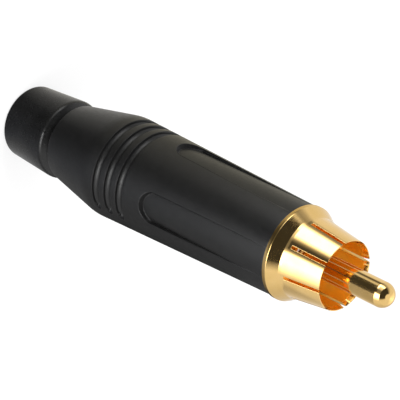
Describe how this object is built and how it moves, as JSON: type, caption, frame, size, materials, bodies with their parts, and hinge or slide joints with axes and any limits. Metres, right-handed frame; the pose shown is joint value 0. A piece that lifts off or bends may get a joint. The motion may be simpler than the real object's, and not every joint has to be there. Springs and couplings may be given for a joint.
{
  "type": "rca plug",
  "caption": "Phono plug with a slotted gold contact ring, a round centre pin, a tapered grip shell and a rear cable boot.",
  "frame": {"origin": "centre of the boot's rear face, on which the plug stands", "axes": "+Z along the plug's axis towards the tip of the centre pin; -Y through the middle of one set of grip grooves"},
  "size_m": [0.0138, 0.0138, 0.0642],
  "materials": {
    "satin_black_casting": "satin",
    "black_boot_plastic": "smooth satin",
    "clamp_plastic": "satin",
    "gold_plate": "polished gold plate",
    "white_insulator": "matte",
    "tinned_metal": "tinned"
  },
  "bodies": {
    "shell": {"shell": "satin_black_casting", "cable_clamp": "clamp_plastic"},
    "boot": {"rear_boot": "black_boot_plastic"},
    "sleeve": {"insulating_sleeve": "clamp_plastic"},
    "contact_unit": {"outer_contact": "gold_plate", "front_insulator": "white_insulator", "rear_insulator": "white_insulator", "center_pin": "gold_plate", "ground_lug": "tinned_metal", "retaining_ring": "tinned_metal"}
  },
  "joints": [
    {"name": "boot_pull", "type": "slide", "parent": "shell", "child": "boot", "axis": [0, 0, -1], "range_m": [0, 0.01]},
    {"name": "contact_draw", "type": "slide", "parent": "shell", "child": "sleeve", "axis": [0, 0, 1], "range_m": [0, 0.006]},
    {"name": "contact_turn", "type": "hinge", "parent": "sleeve", "child": "contact_unit", "pos_m": [0, 0, 0.045], "axis": [0, 0, 1], "range_deg": [0, 2880]}
  ],
  "couplings": [
    {"joint": "contact_draw", "follows": "contact_turn", "m_per_rad": 0.00011937}
  ]
}
